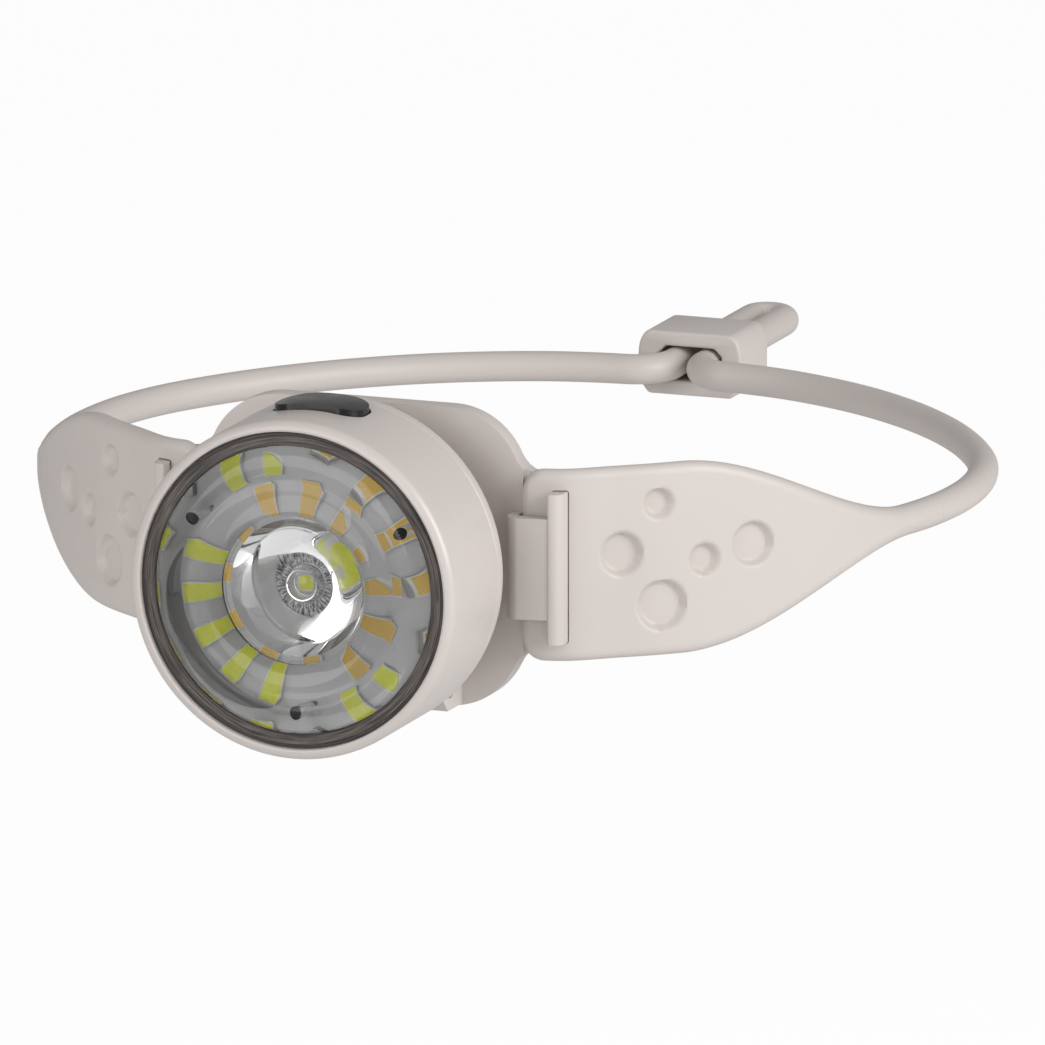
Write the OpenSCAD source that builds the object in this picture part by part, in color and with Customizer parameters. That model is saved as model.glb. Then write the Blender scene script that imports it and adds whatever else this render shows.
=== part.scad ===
// Rechargeable headlamp: a round lamp head on a bottom tilt hinge, a rigid
// forehead plate with two T hooks, and a moulded silicone band with a cord lock.
//
// Frame: the origin is the centre of the face that lies on the forehead.
// The lamp faces -Y, the band runs round the head towards +Y, and +Z is up.
// Lamp parts are turned profiles, drawn as [radius, forward distance from the
// forehead face], so a forward distance h lies at Y = -h.

/* [Forehead plate] */
// Half width of the plate between its waists
plate_half_w = 22.6; // [22.2:0.1:23]
// Half height of the plate
plate_half_h = 20.5; // [19.5:0.5:22]
// Radius of the plate's four lobes
lobe_r = 10.5; // [9:0.5:12]
// Thickness of the plate
plate_t = 2.9; // [2.6:0.1:3.4]
// How far the pad stands out of the plate's back
pad_proud = 0.4; // [0.3:0.1:0.8]
// How deep the pad is let into the plate
pad_recess = 0.8; // [0.5:0.1:1.2]
// Rim left round the pad
pad_rim = 2; // [1.5:0.25:3]

/* [Tilt hinge] */
// Height of the hinge axis below the lamp's axis
hinge_drop = 17.5; // [17:0.1:18]
// Hinge axis in front of the plate
hinge_standoff = 4.3; // [4.2:0.1:4.8]
// Outer radius of the hinge knuckles
knuckle_r = 2.6; // [2.4:0.1:2.7]
// Radius of the hinge pin
pin_r = 1; // [0.8:0.1:1.2]
// Overall width of the hinge
hinge_w = 28; // [26:0.5:30]
// Width of each ear on the plate
ear_w = 5; // [4:0.25:6]

/* [Lamp drum] */
// Outer radius of the drum
drum_r = 23.2; // [23:0.1:24]
// Wall thickness of the drum
wall = 1.6; // [1.4:0.1:1.8]
// Length of the front shell, from the seam to the lip
shell_len = 17.1; // [17:0.1:19]
// Length of the rear shell's collar, from its back face to the seam
collar_len = 3; // [2.8:0.1:3.6]
// Radius of the round behind the collar
collar_round = 1.5; // [1:0.1:2]
// Thickness of the rear shell's floor
floor_t = 1.8; // [1.6:0.1:2]
// Radius of the round on the front lip
lip_round = 1.3; // [1:0.1:1.4]
// Depth of the chamfers that form the seam line
seam_chamfer = 0.2; // [0.1:0.05:0.3]
// Step from the drum in to the rear bowl that holds the cell
bowl_step = 7.7; // [7.4:0.1:7.9]
// Air between the bowl and the plate
bowl_gap = 1.4; // [1:0.1:1.8]

/* [Lens] */
// Gap round the lens flange, inside the lip
lens_gap = 0.3; // [0.2:0.05:0.5]
// How far the lens rim lies behind the lip
lens_recess = 1.1; // [0.9:0.05:1.3]
// Thickness of the lens plate
lens_t = 1.6; // [1.4:0.1:2]
// Width of the flat rim of the lens, under the gasket
rim_w = 1.8; // [1.6:0.05:2]
// Width of the outer ring lens
outer_ring_w = 3.7; // [3.4:0.05:4]
// Flat land between the two ring lenses
land_w = 1; // [0.6:0.05:1.4]
// Width of the inner ring lens
inner_ring_w = 4.6; // [4.2:0.05:5]
// Width of the groove round the spot lens
groove_w = 0.5; // [0.3:0.05:0.8]
// Height of the crown between the two ring lenses
crown = 1.1; // [0.8:0.05:1.3]
// Profile radius of the outer ring lens
outer_ring_curve = 3.9; // [3.4:0.1:5]
// Profile radius of the inner ring lens
inner_ring_curve = 4.4; // [4:0.1:6]
// Radius of the spot lens at the light board
spot_foot_r = 3.7; // [3.5:0.05:4]
// Thickness of the seal ring on the lens flange
gasket_t = 0.35; // [0.25:0.05:0.5]

/* [Light board] */
// Gap between the light board and the ledge round it
board_gap = 0.6; // [0.5:0.05:0.9]
// Thickness of the light board
board_t = 1.2; // [1:0.1:1.6]
// Thickness of the heat spreader
spreader_t = 1.4; // [1:0.1:1.6]
// Circle of the cool white LEDs, in from the board's edge
cool_inset = 2.6; // [2.4:0.05:2.8]
// Places on the outer circle, of which every sixth holds a lens leg
cool_places = 18; // [18]
// Circle of the warm white LEDs, in from the cool ones
led_pitch = 5; // [4.6:0.05:5.2]
// Number of warm white LEDs
warm_count = 12; // [10:1:12]
// Length of a ring LED, across the ring
led_len = 3.5; // [3:0.1:3.6]
// Width of a ring LED, along the ring
led_w = 2.8; // [2.4:0.1:3]
// Height of a ring LED
led_t = 0.7; // [0.5:0.1:0.9]
// Side of the square spot LED
spot_led_w = 3.5; // [3.2:0.05:3.6]

/* [Inside] */
// Gap between the driver board and the screw bosses
driver_gap = 0.5; // [0.4:0.05:0.7]
// Thickness of the driver board
driver_t = 1; // [0.8:0.1:1.2]
// Gap between the bowl's side and the ends of the rechargeable cell
cell_gap_w = 3.1; // [3:0.1:3.9]
// Gap between the bowl's side and the top and bottom of the cell
cell_gap_h = 5.7; // [5.6:0.1:6.4]
// Foam between the cell and the driver board
foam_t = 0.6; // [0.4:0.1:0.8]
// Circle of the shell screws, in from the drum's bore
screw_inset = 4; // [3.9:0.05:4.1]
// Radius of a screw's shank
screw_r = 0.85; // [0.8:0.05:0.95]
// Radius of a screw boss
boss_r = 1.9; // [1.7:0.05:1.95]
// Width of the charging socket
usb_w = 8.94; // [8.9:0.02:9]
// Height of the charging socket
usb_t = 3.2; // [3.1:0.05:3.2]

/* [Button] */
// Width of the button, across the drum
button_w = 12.7; // [12:0.1:13.5]
// Length of the button, along the drum
button_l = 7.5; // [7:0.1:7.8]
// How far the button stands out of the drum
button_proud = 0.8; // [0.6:0.1:1]
// Centre of the button in front of the seam
button_pos = 5.35; // [5.2:0.05:5.5]
// Travel of the button
button_travel = 0.7; // [0.4:0.1:0.7]

/* [Charging port cover] */
// Length of the cover, round the drum
cover_w = 12.4; // [12:0.1:13]
// Width of the cover, along the drum
cover_l = 5.6; // [5.4:0.1:5.8]
// Thickness of the cover
cover_t = 0.9; // [0.7:0.05:1]
// Centre of the port in front of the seam
port_pos = 3.7; // [3.65:0.05:3.75]

/* [Band] */
// Height of the band's paddles
paddle_h = 26.4; // [25:0.2:28]
// Thickness of the paddles
paddle_t = 2.6; // [2.4:0.1:2.8]
// Radius of the paddles' end corners
paddle_corner = 3; // [2:0.25:4]
// Length along the band at which a paddle begins to taper
taper_from = 22; // [20:0.5:24]
// Length over which a paddle tapers to the cord
taper_len = 39; // [36:0.5:42]
// Diameter of the cord
cord_d = 4.2; // [3.8:0.1:4.4]
// Depth of the round dimples in the paddles
dimple_depth = 1.1; // [0.8:0.1:1.3]
// Length of the tail's straight runs behind the lock's front face
tail_len = 31.5; // [30:0.5:36]

/* [Hooks] */
// Height of the hook's arm
arm_h = 13.9; // [12:0.1:15]
// Height of the hook's T bar
tbar_h = 20.7; // [19:0.1:21.5]
// Thickness of the hook's arm
arm_t = 1.8; // [1.5:0.1:2]
// Width of the T bar
tbar_w = 1.9; // [1.6:0.1:2.1]

/* [Cord lock] */
// Width of the cord lock
lock_w = 15.2; // [14.6:0.1:16.5]
// Height of the cord lock
lock_h = 9; // [8.6:0.1:10]
// Length of the cord lock along the tail
lock_l = 11; // [9:0.5:12]
// Travel of the cord lock towards the end of the tail
lock_travel = 14; // [8:1:15]

/* [Clearances] */
// Running clearance between the hinge pin and the lamp's knuckle
pin_clear = 0.05; // [0.03:0.01:0.08]
// Clearance round parts that slide or lift out by hand
slide_clear = 0.2; // [0.15:0.05:0.25]
// Clearance between soft parts and what they lie on
soft_clear = 0.3; // [0.25:0.05:0.4]
// Clearance of parts that drop into a seat
seat_clear = 0.1; // [0.05:0.05:0.15]

/* [Hidden] */
$fn = 96;
eps = 0.01;

// Colours
sand = [0.78, 0.74, 0.71];
sand_soft = [0.76, 0.72, 0.69];
rubber_black = [0.05, 0.05, 0.055];
metal = [0.7, 0.7, 0.72];

// Forward distances of the lamp's planes, from the forehead face outwards
plate_h = pad_proud + plate_t;
hinge_h = plate_h + hinge_standoff;
back_h = hinge_h + knuckle_r + 0.7;
seam_h = back_h + collar_len;
lip_h = seam_h + shell_len;
floor_h = back_h + floor_t;
lens_rim_h = lip_h - lens_recess;
seat_h = lens_rim_h - lens_t;
crown_h = lens_rim_h + crown;
driver_h = floor_h + 2.3;
driver_front_h = driver_h + driver_t;
boss_top_h = driver_front_h + usb_t + 0.2;
spreader_h = boss_top_h + spreader_t;
board_h = spreader_h + board_t;
bowl_back_h = plate_h + bowl_gap;
cell_back_h = bowl_back_h + wall;
cell_front_h = driver_h - foam_t;

// Radii inside the drum
bore_r = drum_r - wall;
lip_in_r = bore_r + 0.1;
ledge_r = bore_r - 1.4;
spigot_r = bore_r - seat_clear;
spigot_t = 1.4;
spigot_len = 1.4;
bowl_r = drum_r - bowl_step;
bowl_in_r = bowl_r - wall;
screw_circle_r = bore_r - screw_inset;
driver_r = screw_circle_r - boss_r - driver_gap;
carrier_r = driver_r + 0.3;
carrier_in_r = min(bowl_in_r, driver_r - 1.3);
cell_w = 2 * (bowl_in_r - cell_gap_w);
cell_h = 2 * (bowl_in_r - cell_gap_h);
board_r = ledge_r - board_gap;
cool_r = board_r - cool_inset;
warm_r = cool_r - led_pitch;
seal_r = 0.4;
seal_groove = 0.75;
seal_h = seam_h + 0.65;

// Lens, from its flange inwards
lens_r = lip_in_r - lens_gap;
outer_ring_out = lens_r - rim_w;
outer_ring_in = outer_ring_out - outer_ring_w;
inner_ring_out = outer_ring_in - land_w;
inner_ring_in = inner_ring_out - inner_ring_w;
spot_r = inner_ring_in - groove_w;

// Hinge
ear_out = hinge_w / 2;
ear_in = ear_out - ear_w;
knuckle_half = ear_in - slide_clear;

// Switch, button and port
button_h = seam_h + button_pos;
port_h = seam_h + port_pos;
stem_h = driver_front_h + usb_t / 2;
flange_out_r = bore_r - slide_clear;
flange_in_r = flange_out_r - 0.6;
switch_top = bore_r - 4.6;
switch_bottom = switch_top - 4;
plunger_r = 1;
plunger_top = switch_top + 1.3;
screw_angles = [38, 142, 218, 322];

// How far a cutter reaches past what it cuts
past = 5;

// ---------------------------------------------------------------- helpers

// Turns a profile of [radius, forward distance] about the lamp's axis
module turned() {
    rotate([90, 0, 0]) rotate_extrude($fn = 144) children();
}

// Points along an arc about c, from angle a0 to a1, in n steps
function arc(c, r, a0, a1, n = 8) =
    [for (i = [0:n]) let (a = a0 + (a1 - a0) * i / n) [c.x + r * cos(a), c.y + r * sin(a)]];

// Points of the arc of radius r that bulges forwards from p to q
function bulge(p, q, r, n = 16) =
    let (
        mid = (p + q) / 2,
        half = norm(q - p) / 2,
        dir = (q - p) / (2 * half),
        c = mid + sqrt(r * r - half * half) * [dir.y, -dir.x] * (q.x > p.x ? 1 : -1),
        a0 = atan2(p.y - c.y, p.x - c.x),
        a1 = atan2(q.y - c.y, q.x - c.x)
    ) arc(c, r, a0, a1, n);

// Closed skin over rings of equal even numbers of points. Each end is closed
// by strips between opposite points, so a ring may be hollow at its waist.
module skin(rings) {
    n = len(rings[0]);
    m = len(rings);
    last_ring = (m - 1) * n;
    faces = concat(
        [for (j = [0:m - 2], i = [0:n - 1])
            let (a = j * n + i, b = j * n + (i + 1) % n, c = a + n)
            [a, b, c]],
        [for (j = [0:m - 2], i = [0:n - 1])
            let (b = j * n + (i + 1) % n, c = j * n + i + n, d = b + n)
            [b, d, c]],
        [for (i = [0:n / 2 - 2]) [n - 2 - i, i + 1, i]],
        [for (i = [0:n / 2 - 2]) [n - 1 - i, n - 2 - i, i]],
        [for (i = [0:n / 2 - 2]) last_ring * [1, 1, 1] + [i, i + 1, n - 2 - i]],
        [for (i = [0:n / 2 - 2]) last_ring * [1, 1, 1] + [i, n - 2 - i, n - 1 - i]]
    );
    polyhedron(points = [for (r = rings) each r], faces = faces, convexity = 6);
}

module mirrored() {
    children();
    mirror([1, 0, 0]) children();
}

// Outline drawn as [X, Z], from h0 to h1 in front of the forehead face
module layer(h0, h1) {
    translate([0, -h0, 0]) rotate([90, 0, 0]) linear_extrude(h1 - h0) children();
}

// Stands an outline drawn as [x, forward distance] up to half height z each way
module upright(z) {
    translate([0, 0, -z]) linear_extrude(2 * z) mirror([0, 1]) children();
}

// ---------------------------------------------------------- forehead plate

wing_half_h = 12;
wing_x = plate_half_w + 6.2;
waist_r = 4;

// One quarter of the plate's outline, pulled in by inset: the lobe's arc, then
// the hollow waist arc that leads into the wing
function plate_quarter() =
    let (
        c = [plate_half_w - lobe_r, plate_half_h - lobe_r],
        waist_y = wing_half_h + waist_r,
        lean = asin((waist_y - c.y) / (lobe_r + waist_r)),
        w = [c.x + (lobe_r + waist_r) * cos(lean), waist_y]
    ) concat(
        arc(w, waist_r, 270, 180 + lean, 5),
        arc(c, lobe_r, lean + (90 - lean) / 12, 90, 11)
    );

// The whole outline, counter-clockwise seen from the front, wings cut at wing_x
function plate_outline() =
    let (q = plate_quarter(), n = len(q), tip = [wing_x, wing_half_h])
    concat(
        [tip],
        q,
        [for (i = [n - 1:-1:0]) [-q[i].x, q[i].y]],
        [[-tip.x, tip.y], [-tip.x, -tip.y]],
        [for (p = q) [-p.x, -p.y]],
        [for (i = [n - 1:-1:0]) [q[i].x, -q[i].y]],
        [[tip.x, -tip.y]]
    );

// Space above the wings where the band's ends lie
module band_seat() {
    mirrored() upright(wing_half_h + past) polygon([
        [plate_half_w + 0.2, plate_h + 3],
        [plate_half_w + 0.2, band_back(plate_half_w + 0.2) - soft_clear],
        [wing_x + 1, band_back(wing_x + 1) - soft_clear],
        [wing_x + 1, plate_h + 3]
    ]);
}

// Bent hook: a post, an arm over the band's end and a T bar through its slot
hook_x = plate_half_w - 1.1;
hook_round = 2;
tbar_x = plate_half_w + 4.9;
tbar_round = 1.5;
arm_front = plate_h + 4.15;
tbar_front = plate_h + 3.65;
module hook() {
    lean = (arm_front - tbar_front + 0.2) / (tbar_x - hook_x - hook_round);
    upright(arm_h / 2) polygon(concat(
        [[hook_x, plate_h - 1]],
        arc([hook_x + hook_round, arm_front - hook_round], hook_round, 180, 90),
        [[tbar_x + 0.5, arm_front - lean * (tbar_x + 0.5 - hook_x - hook_round)],
         [tbar_x + 0.5, arm_front - arm_t - lean * (tbar_x + 0.5 - hook_x - hook_round)]],
        arc([hook_x + 1.3 + 0.6, arm_front - arm_t - 0.6], 0.6, 90, 180, 4),
        [[hook_x + 1.3, plate_h - 1]]
    ));
    upright(tbar_h / 2) polygon(concat(
        [[tbar_x, band_back(tbar_x) + 0.2]],
        arc([tbar_x + 0.3, tbar_front - 0.3], 0.3, 180, 90, 3),
        arc([tbar_x + tbar_w - tbar_round, tbar_front - tbar_round], tbar_round, 90, 0, 6),
        [[tbar_x + tbar_w, band_back(tbar_x) + 0.2]]
    ));
}

// Ear of the tilt hinge: an eight-sided knuckle with a foot on the plate
module ear() {
    translate([ear_in, 0, 0]) rotate([90, 0, 90]) linear_extrude(ear_w) union() {
        translate([-hinge_h, -hinge_drop])
            rotate(22.5) circle(r = knuckle_r / cos(22.5), $fn = 8);
        translate([-hinge_h, -hinge_drop - knuckle_r])
            square([hinge_standoff + 1, 2 * knuckle_r]);
    }
}

module pin_bore(r) {
    translate([-ear_out - 1, -hinge_h, -hinge_drop])
        rotate([0, 90, 0]) cylinder(r = r, h = hinge_w + 2, $fn = 64);
}

module holder_plate() {
    color(sand) difference() {
        union() {
            difference() {
                layer(pad_proud, plate_h) polygon(plate_outline());
                band_seat();
            }
            mirrored() hook();
            mirrored() ear();
        }
        pad_block(0, -1);
        pin_bore(pin_r + 0.02);
    }
}

// The pad's block, grown by grow, from the forehead face less back
module pad_block(grow, back) {
    w = plate_half_w - pad_rim + grow;
    h = plate_half_h - pad_rim + grow;
    r = lobe_r - pad_rim + grow;
    layer(back, pad_proud + pad_recess) union() {
        square([2 * (w - r), 2 * h], center = true);
        square([2 * w, 2 * (h - r)], center = true);
        for (sx = [-1, 1], sz = [-1, 1])
            translate([sx * (w - r), sz * (h - r)]) circle(r);
    }
}

module forehead_pad() {
    color(sand_soft) pad_block(-seat_clear, 0);
}

module hinge_pin() {
    color(metal) translate([-ear_out + 0.3, -hinge_h, -hinge_drop])
        rotate([0, 90, 0]) cylinder(r = pin_r, h = hinge_w - 0.6, $fn = 64);
}

// ------------------------------------------------------------- lamp shells

module at_screws() {
    for (a = screw_angles)
        rotate([0, -a, 0]) translate([screw_circle_r, 0, 0]) children();
}

// A rod along the lamp's axis, between two forward distances
module rod(r, h0, h1) {
    translate([0, -h0, 0]) rotate([90, 0, 0]) cylinder(r = r, h = h1 - h0, $fn = 48);
}

screw_head_r = 1.6;
screw_head_t = 0.9;

module rear_shell() {
    color(sand) difference() {
        union() {
            turned() difference() {
                union() {
                    // bowl
                    translate([0, bowl_back_h]) square([bowl_r, floor_h - bowl_back_h]);
                    // collar and its floor
                    translate([0, back_h]) square([drum_r, collar_len]);
                    // ring that carries the driver board
                    translate([0, back_h]) square([carrier_r, driver_h - back_h]);
                    // spigot inside the front shell
                    translate([0, back_h]) square([spigot_r, collar_len + spigot_len]);
                }
                // hollow of the bowl and of the ring
                translate([0, cell_back_h]) square([bowl_in_r, back_h - cell_back_h]);
                translate([0, cell_back_h]) square([carrier_in_r, lip_h]);
                // hollow round the carrier ring, inside the spigot
                translate([carrier_r, floor_h])
                    square([spigot_r - spigot_t - carrier_r, lip_h]);
                translate([0, driver_h]) square([spigot_r - spigot_t, lip_h]);
                // rounds on the collar and on the bowl
                translate([drum_r - collar_round, back_h]) corner_cut(collar_round);
                translate([bowl_r - 2, bowl_back_h]) corner_cut(2);
                // seam chamfer and seal groove
                translate([drum_r, seam_h]) rotate(45)
                    square(seam_chamfer * sqrt(2), center = true);
                translate([spigot_r - seal_groove, seal_h - seal_r - 0.02])
                    square([2, 2 * seal_r + 0.04]);
            }
            // knuckle of the tilt hinge
            translate([-knuckle_half, 0, 0]) rotate([90, 0, 90])
                linear_extrude(2 * knuckle_half) union() {
                    translate([-hinge_h, -hinge_drop]) circle(knuckle_r, $fn = 64);
                    translate([-back_h - 0.5, -hinge_drop - knuckle_r])
                        square([back_h + 0.5 - hinge_h, 2 * knuckle_r]);
                }
        }
        pin_bore(pin_r + pin_clear);
        at_screws() rod(screw_r + pin_clear, back_h - 1, floor_h + 1);
        at_screws() rod(screw_head_r + pin_clear, back_h - 1, back_h + screw_head_t);
    }
}

// What is cut away to round a turned outer back corner by r
module corner_cut(r) {
    difference() {
        translate([0, -1]) square([r + 1, r + 1]);
        translate([0, r]) circle(r);
    }
}

// Outline with round ends, w long and l wide
module stadium(w, l, r) {
    end_r = min(r, l / 2 - 0.05);
    square([w - 2 * end_r, l], center = true);
    square([w, l - 2 * end_r], center = true);
    for (sx = [-1, 1], sy = [-1, 1])
        translate([sx * (w / 2 - end_r), sy * (l / 2 - end_r)]) circle(end_r);
}

button_corner = 3.2;

// A block that reaches out of the top of the drum
module button_block(grow) {
    translate([0, -button_h, 0])
        linear_extrude(drum_r + past)
            stadium(button_w + 2 * grow, button_l + 2 * grow, button_corner + grow);
}

// A block that reaches out of the side of the drum at the port
module port_block(w, l, r) {
    translate([0, -port_h, 0]) rotate([0, -90, 0])
        linear_extrude(drum_r + past) stadium(w, l, r);
}

port_w = 9.6;
port_l = 3.8;

module front_shell() {
    color(sand) difference() {
        union() {
            difference() {
                turned() difference() {
                    union() {
                        translate([0, seam_h]) square([drum_r, shell_len - lip_round]);
                        translate([0, seam_h]) square([drum_r - lip_round, shell_len]);
                        translate([drum_r - lip_round, lip_h - lip_round]) circle(lip_round);
                    }
                    // hollow behind the ledge, the ledge and the seat of the lens
                    translate([0, seam_h - 1]) square([bore_r, seat_h - 1.2 - seam_h + 1]);
                    translate([0, seam_h - 1]) square([ledge_r, shell_len + 2]);
                    translate([0, seat_h]) square([lip_in_r, shell_len]);
                    translate([drum_r, seam_h]) rotate(45)
                        square(seam_chamfer * sqrt(2), center = true);
                }
                button_block(slide_clear);
                port_block(port_w, port_l, 1);
                // pocket of the port cover
                intersection() {
                    port_block(cover_w + 2 * slide_clear, cover_l + 2 * slide_clear, 1.8);
                    turned() translate([drum_r - cover_t - seat_clear, seam_h])
                        square([cover_t + past, shell_len]);
                }
            }
            // screw bosses, ribbed to the wall above the spigot
            at_screws() rod(boss_r, floor_h + seat_clear, boss_top_h);
            for (a = screw_angles)
                rotate([0, -a, 0]) translate([screw_circle_r, -boss_top_h, -0.7])
                    cube([bore_r + 0.5 - screw_circle_r,
                          boss_top_h - seam_h - spigot_len - 0.3, 1.4]);
        }
        at_screws() rod(screw_r + pin_clear, floor_h - 1, boss_top_h - 0.8);
    }
}

module shell_seal() {
    color(rubber_black) turned()
        translate([spigot_r - seal_groove + seal_r + 0.02, seal_h]) circle(seal_r, $fn = 32);
}

module shell_screws() {
    color(metal) at_screws() {
        difference() {
            rod(screw_head_r, back_h, back_h + screw_head_t);
            // cross recess
            for (a = [0, 90])
                translate([0, -back_h, 0]) rotate([0, a, 0])
                    cube([1.9, 0.9, 0.45], center = true);
        }
        rod(screw_r, back_h + screw_head_t - eps, boss_top_h - 1.6);
    }
}

// ------------------------------------------------------------------ optics

leg_angles = [30, 150, 270];
foot_h = board_h + 0.4;
well_r = 2.6;

// Side of the cone that gathers the spot LED's light, from its rim to its foot
cone_side = [for (i = [0:10]) let (t = 1 - i / 10)
    [spot_foot_r + (spot_r - 0.4 - spot_foot_r) * pow(t, 0.8), foot_h + (seat_h - foot_h) * t]];

// One clear moulding: a flange, two ring lenses and the cone of the spot LED,
// with three legs that stand on the light board
module lens() {
    color([0.85, 0.88, 0.9, 0.4]) union() {
        turned() polygon(concat(
            // front, from the centre outwards
            [[0, lens_rim_h], [spot_r, lens_rim_h]],
            [[spot_r, lens_rim_h - 0.5], [inner_ring_in, lens_rim_h - 0.5]],
            bulge([inner_ring_in, lens_rim_h], [inner_ring_out, crown_h], inner_ring_curve),
            bulge([outer_ring_in, crown_h], [outer_ring_out, lens_rim_h], outer_ring_curve),
            [[lens_r, lens_rim_h], [lens_r, seat_h]],
            // back, down the cone and up into the well over the LED
            cone_side,
            [[well_r, foot_h], [well_r - 0.3, foot_h + 3]],
            [for (a = [20:14:90]) [(well_r - 0.3) * cos(a), foot_h + 3 + 0.9 * sin(a)]],
            [[0, foot_h + 3.9]]
        ));
        for (a = leg_angles)
            rotate([0, -a, 0]) translate([cool_r, 0, 0]) rod(0.8, board_h, seat_h + 0.5);
    }
}

module lens_gasket() {
    color([0.2, 0.19, 0.18]) turned()
        translate([outer_ring_out + 0.1, lens_rim_h])
            square([lip_in_r - seat_clear - outer_ring_out - 0.1, gasket_t]);
}

module spot_lens_seat() {
    color([0.3, 0.3, 0.3]) turned()
        translate([well_r + 0.15, board_h]) square([spot_foot_r + 0.6 - well_r - 0.15, 0.35]);
}

// --------------------------------------------------------------- light board

module led_board() {
    color([0.85, 0.85, 0.85]) rod(board_r, spreader_h, board_h);
}

module heat_spreader() {
    color(metal) rod(board_r, boss_top_h, spreader_h);
}

module ring_led(radius, angle) {
    rotate([0, -angle, 0]) translate([radius - led_len / 2, -board_h - led_t, -led_w / 2])
        cube([led_len, led_t, led_w]);
}

// Every sixth place of the outer circle is left to a leg of the lens
module cool_leds() {
    step = 360 / cool_places;
    color([0.8, 0.82, 0.1]) for (i = [0:cool_places - 1])
        if (i % 6 != 1) ring_led(cool_r, step * (i + 0.5));
}

module warm_leds() {
    color([0.85, 0.68, 0.25]) for (i = [0:warm_count - 1])
        ring_led(warm_r, 360 / warm_count * i);
}

module spot_led() {
    color([0.85, 0.85, 0.1])
        translate([-spot_led_w / 2, -board_h - 1, -spot_led_w / 2])
            cube([spot_led_w, 1, spot_led_w]);
}

// ---------------------------------------------------- driver board and cell

socket_mouth = spigot_r - spigot_t - slide_clear;
socket_len = 7.3;

module driver_board() {
    tab = usb_w / 2 + 0.4;
    color([0.1, 0.35, 0.2]) union() {
        rod(driver_r, driver_h, driver_front_h);
        translate([0.5 - socket_mouth, -driver_front_h, -tab])
            cube([socket_mouth - 0.5, driver_t, 2 * tab]);
        translate([-4, -driver_front_h, 0]) cube([8, driver_t, switch_top]);
    }
}

inductor_r = 2.3;
inductor_t = 2.6;
inductor_place = [6.5, -6];
chip_t = 0.9;
// Lower left corner, width and height of the controller, the charge controller
// and two switching transistors
chips = [[-2, -1, 4, 4], [-6, -9, 3, 3], [0, -9.5, 3, 2.6], [6, 3, 3, 2.6]];

module driver_chips() {
    color([0.15, 0.15, 0.16]) {
        translate([inductor_place.x, 0, inductor_place.y])
            rod(inductor_r, driver_front_h, driver_front_h + inductor_t);
        for (c = chips)
            translate([c[0], -driver_front_h - chip_t, c[1]]) cube([c[2], chip_t, c[3]]);
    }
}

module cell_slab(w, h, h0, h1) {
    layer(h0, h1) stadium(w, h, 1.5);
}

module cell() {
    color([0.6, 0.62, 0.65]) cell_slab(cell_w, cell_h, cell_back_h, cell_front_h);
}

module cell_foam() {
    color([0.2, 0.2, 0.2]) cell_slab(cell_w - 3, cell_h - 3, cell_front_h, driver_h);
}

module charging_socket() {
    translate([-socket_mouth, -driver_front_h - usb_t / 2, 0]) rotate([90, 0, 90]) {
        color(metal) difference() {
            linear_extrude(socket_len) rotate(90) stadium(usb_w, usb_t, usb_t / 2);
            translate([0, 0, -1]) linear_extrude(socket_len - 0.6)
                rotate(90) stadium(usb_w - 0.6, usb_t - 0.6, usb_t / 2);
        }
        color(rubber_black) translate([-0.35, -3.35, 1]) cube([0.7, 6.7, socket_len - 1.6]);
    }
}

// ------------------------------------------------------ port cover and button

// Flap that lies flush in the drum, with a plug that fills the port's mouth
module port_cover() {
    color(sand_soft) union() {
        intersection() {
            port_block(cover_w, cover_l, 1.6);
            turned() translate([drum_r - cover_t, seam_h]) square([cover_t, shell_len]);
        }
        intersection() {
            port_block(port_w - 1, port_l - 1, 0.8);
            translate([-drum_r + cover_t / 2, -lip_h, -drum_r])
                cube([cover_t / 2 + 1.2, shell_len, 2 * drum_r]);
        }
    }
}

module switch_case() {
    color(rubber_black) difference() {
        translate([-3, -driver_front_h - usb_t, switch_bottom])
            cube([6, usb_t, switch_top - switch_bottom]);
        translate([0, -stem_h, switch_top - 3.3])
            cylinder(r = plunger_r + 0.03, h = 5, $fn = 48);
    }
}

module switch_plunger() {
    color("white") translate([0, -stem_h, switch_top - 2.4])
        cylinder(r = plunger_r, h = plunger_top - switch_top + 2.4, $fn = 48);
}

// Rubber cap: it stands out of the drum, is held behind the wall by two side
// flanges, and its stem rests on the switch
module button_cap() {
    color(rubber_black) union() {
        intersection() {
            button_block(0);
            turned() translate([flange_in_r, seam_h])
                square([drum_r + button_proud - flange_in_r, shell_len]);
        }
        intersection() {
            translate([0, -button_h, 0])
                linear_extrude(drum_r) stadium(button_w + 1.6, button_l, button_corner);
            turned() translate([flange_in_r, seam_h])
                square([flange_out_r - flange_in_r, shell_len]);
        }
        translate([0, -stem_h, plunger_top])
            cylinder(r = 1.4, h = flange_in_r + 0.2 - plunger_top, $fn = 48);
    }
}

// -------------------------------------------------------------------- band

lock_front_y = 123;
cord_r = cord_d / 2;
run_x = cord_r + 0.2;
bend_r = 5.5;
bend_y = lock_front_y - 0.3 - bend_r;
tail_y = lock_front_y + tail_len;

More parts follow.
